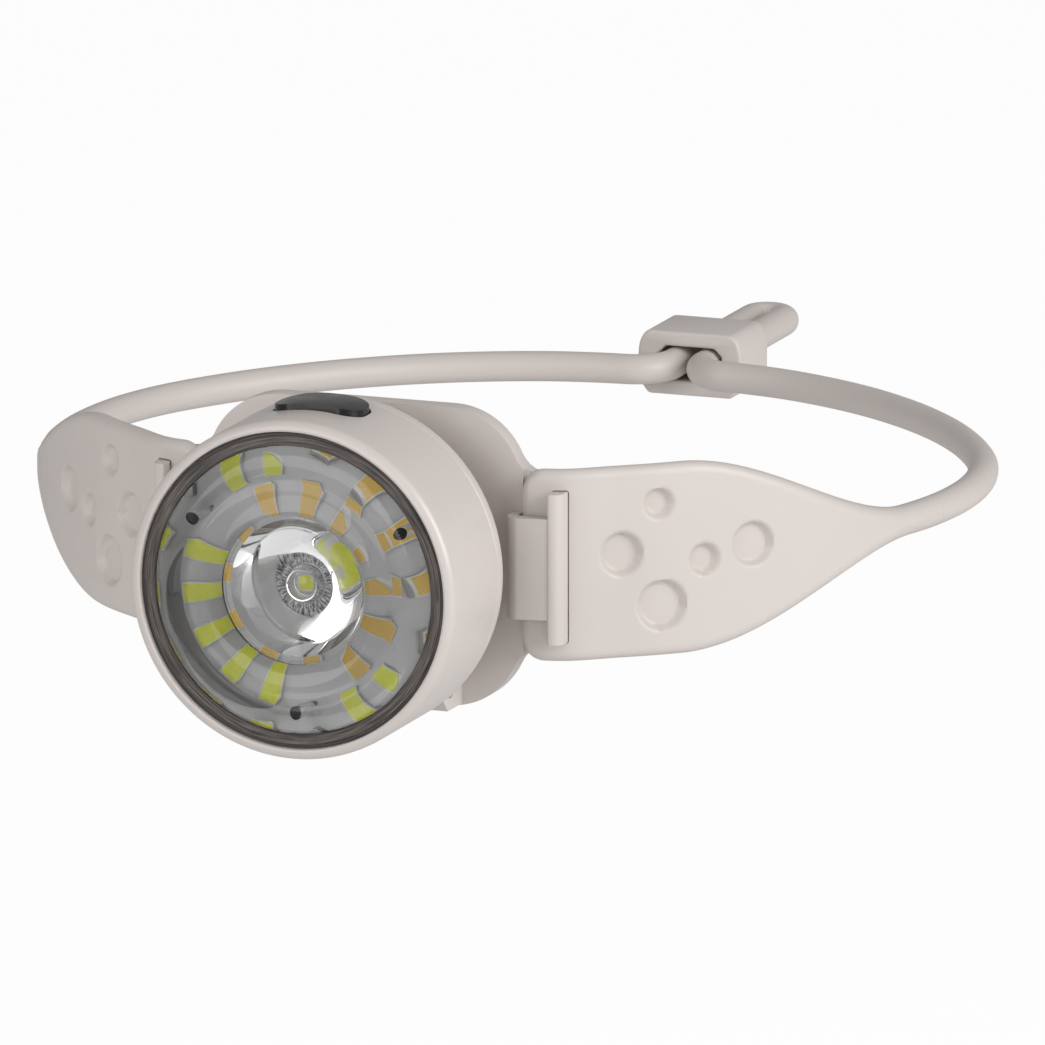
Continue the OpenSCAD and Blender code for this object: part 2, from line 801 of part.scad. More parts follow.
// Middle line of the right half of the band, seen from above, from the end
// under the hook to the start of the bend into the cord lock
band_start = [plate_half_w + 0.5, -plate_h - 0.75];
band_points = [
    [23.1, -4.05], [28.8, -2.75], [34.2, 1.3], [39.2, 5.2], [43.6, 9.5],
    [48.5, 14.9], [53.2, 21.2], [57.5, 28.6], [60.8, 36.8], [63.2, 46.0],
    [64.0, 56.0], [63.0, 66.0], [60.3, 75.2], [56.0, 83.6], [50.6, 91.5],
    [44.5, 98.4], [38.0, 104.2], [31.2, 109.0], [24.0, 112.8], [16.2, 115.7]
];
route = concat([for (p = band_points) p - band_points[0] + band_start], [[run_x + bend_r, bend_y]]);
neck = 9;
last = len(route) - 1;

// Height above the forehead face of the band's back where it lies on the plate
function band_back(x) =
    let (slope = (route[1].y - route[0].y) / (route[1].x - route[0].x))
    -route[0].y - slope * (x - route[0].x) - paddle_t / 2 * sqrt(1 + slope * slope);

// Control points with one more at each end, which set the end directions
function knot(i) =
    i < 0 ? 2 * route[0] - route[1] :
    i > last ? route[last] - [6.5, 0] : route[i];

// Place and direction on the smooth line through the points, t along span i
function on_route(i, t) =
    let (a = knot(i - 1), b = knot(i), c = knot(i + 1), d = knot(i + 2))
    [((2 * b) + (c - a) * t + (2 * a - 5 * b + 4 * c - d) * t * t
        + (3 * b - a - 3 * c + d) * t * t * t) / 2,
     unit((c - a) + 2 * (2 * a - 5 * b + 4 * c - d) * t + 3 * (3 * b - a - 3 * c + d) * t * t)];

function unit(v) = v / norm(v);

// Stations [place, direction] from point i0 to point i1, n to a span
function stations(i0, i1, n) = concat(
    [for (i = [i0:i1 - 1], k = [0:n - 1]) on_route(i, k / n)],
    [on_route(i1 - 1, 1)]
);

// Running length at each station
function lengths(st, i = 0, sum = 0) =
    i == len(st) ? [] :
    let (now = i == 0 ? 0 : sum + norm(st[i][0] - st[i - 1][0]))
    concat([now], lengths(st, i + 1, now));

paddle_st = stations(0, neck, 6);
paddle_s = lengths(paddle_st);

// 0 on the full paddle, 1 on the round cord
function taper(s) =
    let (t = min(1, max(0, (s - taper_from) / taper_len))) t * t * (3 - 2 * t);

// The paddle's end corners are round, and its end edge is thinned
function end_drop(s) =
    s >= paddle_corner ? 0 :
    paddle_corner - sqrt(paddle_corner * paddle_corner - (paddle_corner - s) * (paddle_corner - s));

function band_h(s) = paddle_h + (cord_d - paddle_h) * taper(s) - 2 * end_drop(s);
function band_t(s) = paddle_t + (cord_d - paddle_t) * taper(s) - 0.6 * max(0, 1 - s);

// Ring of a rounded section, t thick and h high, square to a station
function section_ring(st, t, h) =
    let (
        p = st[0], d = st[1], n = [-d.y, d.x],
        r = min(t, h) / 2 * 0.98,
        corners = [[1, 1, 0], [-1, 1, 90], [-1, -1, 180], [1, -1, 270]]
    )
    [for (c = corners, k = [0:3])
        let (
            a = c[2] + 30 * k,
            u = c[0] * (t / 2 - r) + r * cos(a),
            v = c[1] * (h / 2 - r) + r * sin(a)
        ) [p.x + n.x * u, p.y + n.y * u, v]];

// Dimples of a paddle: [length along the band, height, radius]
dimples = [
    [13.2, 1.3, 2.65], [18.4, 7.9, 1.75], [18.9, -6.1, 3.1], [25, -0.3, 1.85], [32.2, 1.1, 2.7]
];

function along(s, axis) =
    lookup(s, [for (i = [0:len(paddle_st) - 1]) [paddle_s[i], axis(paddle_st[i])]]);

// A round cutter that sinks into the paddle's outer face, with a soft rim
module dimple(s, z, r) {
    p = [along(s, function(st) st[0].x), along(s, function(st) st[0].y)];
    d = [along(s, function(st) st[1].x), along(s, function(st) st[1].y)];
    translate([p.x, p.y, z]) rotate([0, 0, atan2(d.y, d.x)]) rotate([90, 0, 0]) {
        translate([0, 0, band_t(s) / 2 - dimple_depth]) cylinder(r = r, h = 3, $fn = 48);
        translate([0, 0, band_t(s) / 2 - 0.3]) cylinder(r1 = r, r2 = r + 1.2, h = 1.2, $fn = 48);
    }
}

slot_gap = 0.15;

module band_paddle_right() {
    color(sand_soft) difference() {
        skin([for (i = [len(paddle_st) - 1:-1:0])
            section_ring(paddle_st[i], band_t(paddle_s[i]), band_h(paddle_s[i]))]);
        for (p = dimples) dimple(p[0], p[1], p[2]);
        // slot of the T bar
        translate([tbar_x - slot_gap, -plate_h - 2 * past, -tbar_h / 2 - slot_gap])
            cube([tbar_w + 2 * slot_gap, 4 * past, tbar_h + 2 * slot_gap]);
    }
}

module band_paddle_left() {
    mirror([1, 0, 0]) band_paddle_right();
}

// Right half of the cord's middle line, from the neck into the lock and to
// the middle of the tail's end
cord_half = concat(
    stations(neck, last, 2),
    [for (a = [18:18:90])
        [[run_x + bend_r - bend_r * sin(a), bend_y + bend_r - bend_r * cos(a)],
         [-cos(a), sin(a)]]],
    [for (t = [0.34, 0.67]) [[run_x, lock_front_y + tail_len * t], [0, 1]]],
    [for (a = [0:30:90]) [[run_x * cos(a), tail_y + run_x * sin(a)], [-sin(a), cos(a)]]]
);

cord_line = concat(
    cord_half,
    [for (i = [len(cord_half) - 2:-1:0])
        let (s = cord_half[i]) [[-s[0].x, s[0].y], [s[1].x, -s[1].y]]]
);

function cord_ring(st) =
    let (p = st[0], n = [-st[1].y, st[1].x])
    [for (a = [0:30:330]) [p.x + n.x * cord_r * cos(a), p.y + n.y * cord_r * cos(a), cord_r * sin(a)]];

module band_cord() {
    color(sand_soft) skin([for (i = [len(cord_line) - 1:-1:0]) cord_ring(cord_line[i])]);
}

// --------------------------------------------------------------- cord lock

// Right half of the lock's outline: flat top, round shoulder, chamfered foot
lock_side = concat(
    [for (a = [90:-11.25:0])
        [lock_w / 2 - 1.9 + 1.9 * cos(a), lock_h / 2 - 3.4 + 3.4 * sin(a)]],
    [[lock_w / 2, -lock_h / 2 + 1.9], [lock_w / 2 - 1.5, -lock_h / 2]]
);
window_w = run_x + cord_r + soft_clear;
window_h = cord_r + soft_clear;
window_chamfer = 1.1;

module cord_lock() {
    color(sand) translate([0, lock_front_y + lock_l, 0]) rotate([90, 0, 0])
        linear_extrude(lock_l) difference() {
            polygon(concat(lock_side,
                [for (i = [len(lock_side) - 1:-1:0]) [-lock_side[i].x, lock_side[i].y]]));
            polygon([for (q = [[1, 1], [-1, 1], [-1, -1], [1, -1]], k = [0, 1])
                let (first = q.x * q.y > 0 ? k == 0 : k == 1)
                [q.x * (window_w - (first ? 0 : window_chamfer)),
                 q.y * (window_h - (first ? window_chamfer : 0))]]);
        }
}

// ------------------------------------------------------------------- output
holder_plate();
forehead_pad();
hinge_pin();
rear_shell();
front_shell();
shell_seal();
shell_screws();
lens();
lens_gasket();
spot_lens_seat();
led_board();
cool_leds();
warm_leds();
spot_led();
heat_spreader();
driver_board();
driver_chips();
cell();
cell_foam();
charging_socket();
port_cover();
switch_case();
switch_plunger();
button_cap();
band_paddle_right();
band_paddle_left();
band_cord();
cord_lock();
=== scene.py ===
"""Rechargeable headlamp: the looks of its pieces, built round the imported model."""

import math

import bpy
from mathutils import Matrix, Vector


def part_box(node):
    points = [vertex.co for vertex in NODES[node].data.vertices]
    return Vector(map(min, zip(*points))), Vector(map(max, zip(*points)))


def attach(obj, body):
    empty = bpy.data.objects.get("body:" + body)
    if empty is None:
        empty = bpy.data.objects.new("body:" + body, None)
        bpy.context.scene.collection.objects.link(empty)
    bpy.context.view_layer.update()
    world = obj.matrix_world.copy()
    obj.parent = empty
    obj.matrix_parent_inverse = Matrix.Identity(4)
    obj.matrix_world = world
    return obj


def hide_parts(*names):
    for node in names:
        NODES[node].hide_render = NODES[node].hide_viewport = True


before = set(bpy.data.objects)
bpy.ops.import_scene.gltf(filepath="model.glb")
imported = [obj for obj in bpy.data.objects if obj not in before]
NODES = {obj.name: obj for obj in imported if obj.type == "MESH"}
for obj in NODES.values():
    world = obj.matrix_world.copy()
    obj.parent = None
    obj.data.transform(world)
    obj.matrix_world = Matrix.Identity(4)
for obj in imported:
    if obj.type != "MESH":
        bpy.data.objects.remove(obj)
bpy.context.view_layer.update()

bl_info = {
    "name": "Headlamp",
    "version": (1, 0, 0),
    "blender": (4, 5, 0),
    "location": "View3D > Sidebar > Headlamp",
    "description": "Builds a rechargeable headlamp with a silicone band, piece by piece",
    "category": "Add Mesh",
}

MM = 0.001


def span(node, axis):
    """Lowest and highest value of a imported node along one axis, in millimetres."""
    low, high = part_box(node)
    return low[axis] / MM, high[axis] / MM


# Distances h are forward of the forehead face, so a point at h lies at Y = -h
LIP_H = -span("front_shell", 1)[0]
BOARD_H = -span("led_board", 1)[0]
DRUM_R = span("front_shell", 0)[1]
LENS_R = span("lens", 0)[1]
RIM_H = -span("lens_gasket", 1)[1]
GASKET_H = -span("lens_gasket", 1)[0]
GASKET_R = span("lens_gasket", 0)[1]
LOCK_FRONT = span("cord_lock", 1)[0]
CORD_R = span("band_cord", 2)[1]
PADDLE_H = 2 * span("band_paddle_right", 2)[1]
SEAM_H = 13.9
SEAT_H = 28.3
BORE_R = 21.6


# ------------------------------------------------------------------ settings


def mm_size(name, text, value):
    """A length in millimetres that a user may change."""
    return bpy.props.FloatProperty(name=name, description=text, default=value, min=0.0, precision=2)


def tint(name, text, value):
    """A colour that a user may change."""
    return bpy.props.FloatVectorProperty(
        name=name, description=text, subtype="COLOR", size=3, min=0.0, max=1.0, default=value
    )


def srgb(red, green, blue):
    """Scene colour for a colour given as 0 to 255 on a screen."""
    steps = [c / 255 for c in (red, green, blue)]
    return tuple(c / 12.92 if c <= 0.04045 else ((c + 0.055) / 1.055) ** 2.4 for c in steps)


class HeadlampSizes(bpy.types.PropertyGroup):
    """Lengths of the headlamp's visible forms, in millimetres."""

    plate_round: mm_size("Plate round", "Round along the plate's and the hooks' edges", 0.55)
    lock_round: mm_size("Lock round", "Round along the cord lock's edges", 0.45)
    button_round: mm_size("Button round", "Round along the button's top edge", 0.45)
    cover_round: mm_size("Cover round", "Round along the port cover's edges", 0.2)
    pad_round: mm_size("Pad round", "Round along the forehead pad's edges", 0.35)
    dimple_depth: mm_size("Dimple depth", "Depth of the round dimples in the band", 1.1)
    dimple_wall: mm_size("Dimple wall", "Width of a dimple's sloping wall", 0.75)
    emitter_rim: mm_size("Emitter rim", "Width of the white rim round an emitter's phosphor", 0.16)


class HeadlampColours(bpy.types.PropertyGroup):
    """Colours of the headlamp's finishes."""

    sand: tint("Sand", "Lamp head and plate", srgb(203, 195, 190))
    band: tint("Band", "Silicone band", srgb(201, 193, 188))
    lock: tint("Lock", "Cord lock", srgb(206, 198, 193))
    cool: tint("Cool phosphor", "Emitters of the outer ring and the middle", srgb(219, 224, 0))
    warm: tint("Warm phosphor", "Emitters of the inner ring", srgb(221, 178, 52))
    board: tint("Board", "Solder mask under the emitters", srgb(190, 190, 190))
    button: tint("Button", "Push button", (0.006, 0.006, 0.006))
    pad: tint("Pad", "Forehead pad", srgb(112, 107, 103))


# ----------------------------------------------------------------- finishes


class Value:
    """A shader socket that can be used in sums: each sum adds a Math node."""

    def __init__(self, finish, socket):
        self.finish, self.socket = finish, socket

    def sum(self, operation, *terms):
        return self.finish.add("ShaderNodeMath", {"operation": operation}, terms)

    def __add__(self, other):
        return self.sum("ADD", self, other)

    def __radd__(self, other):
        return self.sum("ADD", other, self)

    def __sub__(self, other):
        return self.sum("SUBTRACT", self, other)

    def __rsub__(self, other):
        return self.sum("SUBTRACT", other, self)

    def __mul__(self, other):
        return self.sum("MULTIPLY", self, other)

    def __rmul__(self, other):
        return self.sum("MULTIPLY", other, self)

    def __truediv__(self, other):
        return self.sum("DIVIDE", self, other)

    def __pow__(self, other):
        return self.sum("POWER", self, other)

    def sine(self):
        return self.sum("SINE", self)


class Finish:
    """One material: a Principled shader, and the nodes that vary it."""

    def __init__(self, name, colour, roughness=0.5, **fixed):
        self.material = bpy.data.materials.new(name)
        self.material.use_nodes = True
        self.tree = self.material.node_tree
        self.tree.nodes.clear()
        self.output = self.tree.nodes.new("ShaderNodeOutputMaterial")
        self.shader = self.tree.nodes.new("ShaderNodeBsdfPrincipled")
        self.tree.links.new(self.shader.outputs[0], self.output.inputs[0])
        self.shader.inputs["Base Color"].default_value = (*colour, 1)
        self.shader.inputs["Roughness"].default_value = roughness
        self.material.diffuse_color = (*colour, 1)
        for key, value in fixed.items():
            self.shader.inputs[key.replace("_", " ")].default_value = value
        self.colour = colour

    def add(self, kind, settings=None, inputs=(), out=0):
        """Adds a node of a type with its settings and input values or links."""
        node = self.tree.nodes.new(kind)
        for key, value in (settings or {}).items():
            setattr(node, key, value)
        pairs = inputs.items() if isinstance(inputs, dict) else enumerate(inputs)
        for key, value in pairs:
            if isinstance(value, Value):
                self.tree.links.new(value.socket, node.inputs[key])
            else:
                node.inputs[key].default_value = value
        return Value(self, node.outputs[out])

    def place(self, x=1.0, y=1.0, z=1.0):
        """Object coordinates in millimetres, each axis stretched by a factor."""
        spot = self.add("ShaderNodeTexCoord", out="Object")
        scale = (x / MM, y / MM, z / MM)
        return self.add("ShaderNodeVectorMath", {"operation": "MULTIPLY"}, [spot, scale])

    def noise(self, scale, detail=2.0, where=None, roughness=0.5):
        """Noise from 0 to 1 with features about 1 / scale millimetres across."""
        given = {"Vector": where or self.place(), "Scale": scale, "Detail": detail, "Roughness": roughness}
        return self.add("ShaderNodeTexNoise", None, given)

    def ramp(self, value, low, high, start=0.0, end=1.0, smooth=True):
        """Takes value from low..high to start..end."""
        kind = "SMOOTHSTEP" if smooth else "LINEAR"
        return self.add(
            "ShaderNodeMapRange", {"interpolation_type": kind}, {0: value, 1: low, 2: high, 3: start, 4: end}
        )

    def mix(self, share, first, second):
        """Colour between two colours."""
        given = {0: share, 6: pad_colour(first), 7: pad_colour(second)}
        return self.add("ShaderNodeMix", {"data_type": "RGBA"}, given, out=2)

    def vary(self, **links):
        """Feeds values into the shader: colour, roughness, metallic, coat or alpha."""
        for key, value in links.items():
            self.tree.links.new(value.socket, self.shader.inputs[key.replace("_", " ")])
        return self

    def relief(self, height, depth, base=None):
        """Bump from a height of 0 to 1 that stands depth millimetres."""
        given = {"Height": height, "Distance": depth * MM, "Strength": 1.0}
        if base is not None:
            given["Normal"] = base
        bump = self.add("ShaderNodeBump", None, given)
        self.tree.links.new(bump.socket, self.shader.inputs["Normal"])
        return bump

    def polar(self):
        """Radius and angle about the lamp's axis, in millimetres and radians."""
        split = self.tree.nodes.new("ShaderNodeSeparateXYZ")
        self.tree.links.new(self.place().socket, split.inputs[0])
        x, z = Value(self, split.outputs[0]), Value(self, split.outputs[2])
        return (x * x + z * z) ** 0.5, x.sum("ARCTAN2", z, x)


def pad_colour(colour):
    return colour if isinstance(colour, Value) else (*colour[:3], 1)


def scaled(colour, factor):
    return tuple(min(1.0, c * factor) for c in colour)


def moulded(name, colour, roughness, grain=0.012, drift=0.035, coat=0.0):
    """Moulded plastic or silicone: a fine skin grain and a slow colour drift."""
    made = Finish(name, colour, roughness, Coat_Weight=coat, Coat_Roughness=0.25)
    slow = made.noise(0.06, 3)
    speck = made.noise(2.6, 2)
    share = slow * 0.75 + speck * 0.25
    made.vary(Base_Color=made.mix(share, scaled(colour, 1 - drift), scaled(colour, 1 + drift)))
    made.vary(Roughness=made.ramp(made.noise(0.35, 3), 0.3, 0.7, roughness - 0.04, roughness + 0.05))
    made.relief(made.noise(9.0, 2), grain)
    return made.material


def ground_metal(name, colour, roughness, along="x"):
    """Ground or rolled metal with fine scratches along one axis."""
    made = Finish(name, colour, roughness, Metallic=1.0)
    stretch = {"x": (0.05, 3, 3), "y": (3, 0.05, 3), "z": (3, 3, 0.05)}[along]
    lines = made.noise(2.0, 3, made.place(*stretch))
    made.vary(Base_Color=made.mix(lines, scaled(colour, 0.86), scaled(colour, 1.08)))
    made.vary(Roughness=made.ramp(lines, 0.3, 0.7, roughness - 0.07, roughness + 0.09))
    made.relief(lines, 0.004)
    return made.material


def solder_mask(name, colour, line):
    """Circuit board: a lacquered face with faint tracks under it."""
    made = Finish(name, colour, 0.42, Coat_Weight=0.25, Coat_Roughness=0.2)
    radius, angle = made.polar()
    rings = (radius * 2.1).sine()
    spokes = (angle * 9.0).sine()
    track = made.ramp(rings * 0.5 + spokes * 0.5, 0.55, 0.7)
    made.vary(Base_Color=made.mix(track * 0.5, colour, line))
    made.relief(track, 0.02)
    return made.material


def phosphor(name, colour):
    """Phosphor in clear silicone: fine grains."""
    made = Finish(name, colour, 0.35, Specular_IOR_Level=0.35)
    grains = made.noise(7.0, 3)
    made.vary(Base_Color=made.mix(made.ramp(grains, 0.35, 0.65), scaled(colour, 0.93), scaled(colour, 1.05)))
    made.vary(Roughness=made.ramp(grains, 0.3, 0.7, 0.3, 0.45))
    made.relief(grains, 0.006)
    return made.material


def clear_moulding(name):
    """Clear polished polycarbonate with the faintest haze."""
    made = Finish(name, (0.985, 0.99, 0.992), 0.0, Transmission_Weight=1.0, IOR=1.5)
    made.vary(Roughness=made.ramp(made.noise(0.25, 2), 0.35, 0.75, 0.0, 0.012))
    return made.material


def ringed_rubber(name):
    """Gasket: dark brown rubber drawn out in fine rings, with painted shade along its outer edge under the
    drum's lip and along its inner edge at the lens.
    """
    dark, light = srgb(38, 33, 30), srgb(112, 102, 96)
    made = Finish(name, dark, 0.4)
    radius, angle = made.polar()
    spot = made.add("ShaderNodeCombineXYZ", None, [radius * 3.2, angle * 2.2, 0.0])
    streak = made.noise(1.3, 4, spot, 0.65)
    # Painted shade: the light streaks fade out towards the outer edge, under the drum's lip, and towards the
    # inner edge, next to the lens
    edge = made.ramp(radius, GASKET_R - 0.55, GASKET_R - 0.1)
    inner = made.ramp(radius, 19.7, 20.3, 1.0, 0.0)
    share = made.ramp(streak, 0.36, 0.7) * (1 - edge * 0.9) * (1 - inner * 0.6)
    made.vary(Base_Color=made.mix(share, dark, light))
    made.vary(Roughness=made.ramp(streak, 0.3, 0.7, 0.3, 0.55))
    made.relief(streak, 0.03)
    return made.material


def radial_grain(name):
    """Seat ring: black with light rays that run outwards."""
    made = Finish(name, srgb(60, 60, 60), 0.45)
    radius, angle = made.polar()
    spot = made.add("ShaderNodeCombineXYZ", None, [angle * 9.0, radius * 0.7, 0.0])
    ray = made.noise(1.6, 3, spot, 0.7)
    made.vary(Base_Color=made.mix(made.ramp(ray, 0.42, 0.6), srgb(24, 24, 24), srgb(205, 205, 205)))
    made.relief(ray, 0.03)
    return made.material


def polished_black(name, colour):
    """Glossy black cap with faint handling haze."""
    made = Finish(name, colour, 0.2, Specular_IOR_Level=0.4)
    haze = made.noise(0.4, 3)
    made.vary(Roughness=made.ramp(haze, 0.3, 0.7, 0.16, 0.28))
    made.vary(Base_Color=made.mix(haze, colour, scaled(colour, 1.6)))
    made.relief(made.noise(3.0, 2), 0.004)
    return made.material


def ribbed_pad(name, colour):
    """Forehead pad: soft silicone with a grid of small round studs."""
    made = Finish(name, colour, 0.62)
    split = made.tree.nodes.new("ShaderNodeSeparateXYZ")
    made.tree.links.new(made.place().socket, split.inputs[0])
    x, z = Value(made, split.outputs[0]), Value(made, split.outputs[2])
    studs = made.ramp((x * 2.6).sine() * (z * 2.6).sine(), 0.25, 0.75)
    grain = made.noise(5.0, 2)
    made.vary(Base_Color=made.mix(studs * 0.5 + grain * 0.3, scaled(colour, 0.85), scaled(colour, 1.12)))
    made.vary(Roughness=made.ramp(grain, 0.3, 0.7, 0.55, 0.7))
    made.relief(studs * 0.9 + grain * 0.1, 0.12)
    return made.material


def foil_pouch(name):
    """Aluminium foil pouch with soft creases."""
    made = Finish(name, srgb(200, 202, 204), 0.3, Metallic=1.0)
    crease = made.noise(0.35, 4, None, 0.6)
    made.vary(Base_Color=made.mix(crease, srgb(176, 178, 182), srgb(215, 216, 218)))
    made.vary(Roughness=made.ramp(crease, 0.3, 0.7, 0.22, 0.42))
    made.relief(crease, 0.12)
    return made.material


def cell_foam_finish(name):
    """Open foam with small pores."""
    made = Finish(name, srgb(86, 86, 88), 0.9)
    pores = made.add("ShaderNodeTexVoronoi", None, {"Vector": made.place(), "Scale": 2.2})
    made.vary(Base_Color=made.mix(pores, srgb(52, 52, 54), srgb(102, 102, 104)))
    made.relief(pores, 0.1)
    return made.material


# ------------------------------------------------------------------- making


def set_down():
    """Leaves edit mode and deselects everything."""
    if bpy.context.object and bpy.context.object.mode != "OBJECT":
        bpy.ops.object.mode_set(mode="OBJECT")
    bpy.ops.object.select_all(action="DESELECT")


def take(piece):
    """Makes one piece the selected and active object."""
    set_down()
    piece.select_set(True)
    bpy.context.view_layer.objects.active = piece
    return piece


def named(name):
    """Names the active object and its mesh."""
    piece = bpy.context.object
    piece.name = piece.data.name = name
    return piece


def settle(piece):
    """Applies place, turn and scale, so that the object sits at the origin."""
    take(piece)
    bpy.ops.object.transform_apply(location=True, rotation=True, scale=True)
    return piece


def smooth(piece, angle=32.0):
    take(piece)
    bpy.ops.object.shade_smooth_by_angle(angle=math.radians(angle))
    return piece


def mend(piece, merge=0.0005):
    """Merges doubled points and turns every face outwards."""
    take(piece)
    bpy.ops.object.mode_set(mode="EDIT")
    bpy.ops.mesh.select_all(action="SELECT")
    bpy.ops.mesh.remove_doubles(threshold=merge * MM)
    bpy.ops.mesh.normals_make_consistent(inside=False)
    bpy.ops.object.mode_set(mode="OBJECT")
    return piece


def finish_with(piece, kind, **settings):
    """Adds one modifier and applies it."""
    take(piece)
    added = piece.modifiers.new(kind.title(), kind)
    for key, value in settings.items():
        setattr(added, key, value)
    bpy.ops.object.modifier_apply(modifier=added.name)
    return piece


def round_edges(piece, width, segments=3, angle=28.0):
    return finish_with(
        piece, "BEVEL", width=width * MM, segments=segments, limit_method="ANGLE",
        angle_limit=math.radians(angle), use_clamp_overlap=True, harden_normals=False,
    )


def paint(piece, *materials):
    """Gives a piece its materials; faces keep the number of their own."""
    numbers = [face.material_index for face in piece.data.polygons]
    piece.data.materials.clear()
    for material in materials:
        piece.data.materials.append(material)
    for face, number in zip(piece.data.polygons, numbers):
        face.material_index = min(number, len(materials) - 1)
    return piece


def joined(pieces, name):
    """Joins pieces into one mesh."""
    set_down()
    for piece in pieces:
        piece.select_set(True)
    bpy.context.view_layer.objects.active = pieces[0]
    bpy.ops.object.join()
    return named(name)


def cut(piece, cutter, way="DIFFERENCE"):
    """Takes one closed shape from another, or fuses it on."""
    finish_with(piece, "BOOLEAN", operation=way, object=cutter, solver="EXACT")
    bpy.data.objects.remove(cutter)
    return piece


def from_node(node, name):
    """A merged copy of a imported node, with its flat faces whole, to be worked on."""
    piece = bpy.data.objects.new(name, NODES[node].data.copy())
    piece.data.name = name
    bpy.context.scene.collection.objects.link(piece)
    take(piece)
    if piece.data.has_custom_normals:
        bpy.ops.mesh.customdata_custom_splitnormals_clear()
    mend(piece, 0.002)
    bpy.ops.object.mode_set(mode="EDIT")
    bpy.ops.mesh.select_all(action="SELECT")
    bpy.ops.mesh.dissolve_limited(angle_limit=math.radians(0.6))
    bpy.ops.object.mode_set(mode="OBJECT")
    return piece


def turned(name, profile, segments=160, ring=False):
    """A shape turned about the lamp's axis from [radius, h] points.

    A ring's profile comes back to its start; any other is closed by end faces."""
    set_down()
    radius, h = profile[0]
    bpy.ops.mesh.primitive_circle_add(
        vertices=segments, radius=radius * MM, fill_type="NOTHING" if ring else "NGON",
        location=(0, -h * MM, 0), rotation=(math.pi / 2, 0, 0),
    )
    piece = settle(named(name))
    bpy.ops.object.mode_set(mode="EDIT")
    bpy.ops.mesh.select_mode(type="EDGE" if ring else "FACE")
    bpy.ops.mesh.select_all(action="SELECT")
    stops = profile[1:] + ([profile[0]] if ring else [])
    for next_radius, next_h in stops:
        grow = next_radius / radius
        if ring:
            bpy.ops.mesh.extrude_edges_move(TRANSFORM_OT_translate={"value": (0, (h - next_h) * MM, 0)})
        else:
            bpy.ops.mesh.extrude_region_move(TRANSFORM_OT_translate={"value": (0, (h - next_h) * MM, 0)})
        bpy.ops.transform.resize(value=(grow, 1, grow), center_override=(0, -next_h * MM, 0))
        radius, h = next_radius, next_h
    bpy.ops.object.mode_set(mode="OBJECT")
    return mend(piece)


def arc(centre, radius, start, end, steps):
    """Points on an arc in [radius, h], from one angle to the other."""
    turn = [math.radians(start + (end - start) * i / steps) for i in range(steps + 1)]
    return [(centre[0] + radius * math.cos(a), centre[1] + radius * math.sin(a)) for a in turn]


def crown_line(first, last, radius, steps=20):
    """Outward arc of a given radius between two points of a profile."""
    (x0, y0), (x1, y1) = first, last
    mid = ((x0 + x1) / 2, (y0 + y1) / 2)
    half = math.dist(first, last) / 2
    rise = math.sqrt(radius**2 - half**2)
    nx, ny = (y1 - y0) / (2 * half), -(x1 - x0) / (2 * half)
    centre = (mid[0] + nx * rise, mid[1] + ny * rise)
    a0 = math.atan2(y0 - centre[1], x0 - centre[0])
    a1 = math.atan2(y1 - centre[1], x1 - centre[0])
    return [
        (centre[0] + radius * math.cos(a0 + (a1 - a0) * i / steps),
         centre[1] + radius * math.sin(a0 + (a1 - a0) * i / steps))
        for i in range(steps + 1)
    ]


def slab(name, size, centre):
    """A plain block, used as a cutter or as the start of a piece."""
    set_down()
    bpy.ops.mesh.primitive_cube_add(size=1, location=[c * MM for c in centre])
    piece = named(name)
    piece.scale = [s * MM for s in size]
    return settle(piece)


def stadium_block(name, width, length, corner, depth, centre, turn=(0, 0, 0)):
    """A block with a round-ended outline, used to cut a pocket."""
    piece = slab(name, (width, length, depth), (0, 0, 0))
    take(piece)
    bpy.ops.object.mode_set(mode="EDIT")
    bpy.ops.mesh.select_mode(type="EDGE")
    bpy.ops.mesh.select_all(action="DESELECT")
    bpy.ops.object.mode_set(mode="OBJECT")
    for edge in piece.data.edges:
        a, b = (piece.data.vertices[i].co for i in edge.vertices)
        edge.select = abs(a.z - b.z) > abs(a.x - b.x) + abs(a.y - b.y)
    bpy.ops.object.mode_set(mode="EDIT")
    bpy.ops.mesh.bevel(offset=corner * MM, segments=12, affect="EDGES")
    bpy.ops.object.mode_set(mode="OBJECT")
    piece.rotation_euler = turn
    piece.location = [c * MM for c in centre]
    return settle(piece)


def give(piece, body, slot, *nodes):
    """Fixes a piece to its body and hides the nodes it stands for; the slot argument is not used."""
    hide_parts(*nodes)
    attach(piece, body)
    return piece


# --------------------------------------------------------------- lamp head


def make_front_shell(sizes, colours):
    """The drum: a turned wall with a rounded lip, a button window and a port."""
    drum, lip = DRUM_R, 1.3
    seam = SEAM_H + 0.02
    profile = [(BORE_R, seam), (BORE_R, 20.0), (BORE_R, 27.0), (20.2, 27.1), (20.2, SEAT_H)]
    profile += [(BORE_R + 0.1, SEAT_H), (BORE_R + 0.1, LIP_H - 0.35)]
    profile += arc((BORE_R + 0.45, LIP_H - 0.35), 0.35, 180, 90, 4)[1:]
    profile += arc((drum - lip, LIP_H - lip), lip, 85, 0, 9)
    profile += [(drum, 26.0), (drum, 22.0), (drum, 18.0), (drum, SEAM_H + 0.22), (drum - 0.2, seam)]
    profile += [(BORE_R + 0.25, seam)]
    piece = turned("drum_shell", profile, 192, ring=True)
    middle = -(SEAM_H + 5.35)
    cut(piece, stadium_block("button_window", 13.1, 7.9, 3.2, 12, (0, middle, DRUM_R)))
    side = -(SEAM_H + 3.7)
    low, high = span("port_cover", 1)
    well = slab("cover_pocket", (4.0, high - low + 0.4, 12.8), (-DRUM_R - 0.95, side, 0))
    cut(piece, round_edges(well, 1.2, 6))
    cut(piece, round_edges(slab("port_mouth", (8, 3.8, 9.6), (-DRUM_R, side, 0)), 0.9, 5))
    return smooth(piece, 34)


